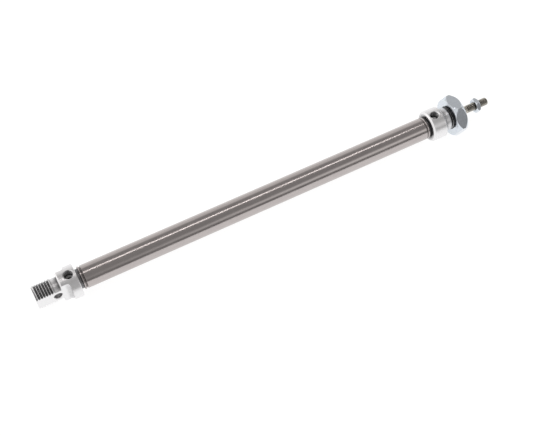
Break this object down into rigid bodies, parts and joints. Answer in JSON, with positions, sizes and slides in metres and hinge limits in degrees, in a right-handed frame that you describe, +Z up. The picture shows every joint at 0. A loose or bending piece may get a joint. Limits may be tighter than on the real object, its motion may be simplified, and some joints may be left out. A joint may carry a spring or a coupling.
{
  "type": "pneumatic cylinder",
  "caption": "Slim round double-acting pneumatic cylinder with a crimped steel tube, threaded nose and tail, mounting nut and extending piston rod.",
  "frame": {"origin": "centre of the front cap's mounting shoulder, on the cylinder's axis", "axes": "+X along the axis, the way the rod comes out; +Z up through the middle of both air ports; +Y completes the right hand and runs along the rear pivot hole"},
  "size_m": [0.2462, 0.0216, 0.0206],
  "materials": {
    "stainless_tube": "drawn and polished stainless steel",
    "cap_aluminium": "turned, clear anodised",
    "rod_steel": "ground and polished stainless steel",
    "nut_steel": "zinc plated",
    "retainer_steel": "pressed plain steel",
    "seal_rubber": "nitrile rubber",
    "bumper_urethane": "moulded polyurethane",
    "bush_bronze": "sintered bronze",
    "piston_aluminium": "turned",
    "magnet_ferrite": "sintered ferrite",
    "guide_plastic": "acetal"
  },
  "bodies": {
    "cylinder": {"barrel_tube": "stainless_tube", "rear_cap": "cap_aluminium", "front_cap": "cap_aluminium", "rear_cap_seal": "seal_rubber", "front_cap_seal": "seal_rubber", "rear_bumper": "bumper_urethane", "front_bumper": "bumper_urethane", "rod_bush": "bush_bronze", "rod_seal": "seal_rubber", "seal_retainer": "retainer_steel", "mounting_nut": "nut_steel"},
    "piston_seals": {"front_piston_seal": "seal_rubber", "rear_piston_seal": "seal_rubber", "guide_ring": "guide_plastic"},
    "rod": {"piston_rod": "rod_steel", "piston_front": "piston_aluminium", "piston_rear": "piston_aluminium", "piston_magnet": "magnet_ferrite", "magnet_washer": "guide_plastic", "piston_o_ring": "seal_rubber", "piston_nut": "nut_steel", "rod_nut": "nut_steel"}
  },
  "joints": [
    {"name": "rod_slide", "type": "slide", "parent": "cylinder", "child": "piston_seals", "axis": [1, 0, 0], "range_m": [0, 0.16]},
    {"name": "rod_turn", "type": "hinge", "parent": "piston_seals", "child": "rod", "pos_m": [0, 0, 0], "axis": [1, 0, 0], "continuous": true}
  ]
}
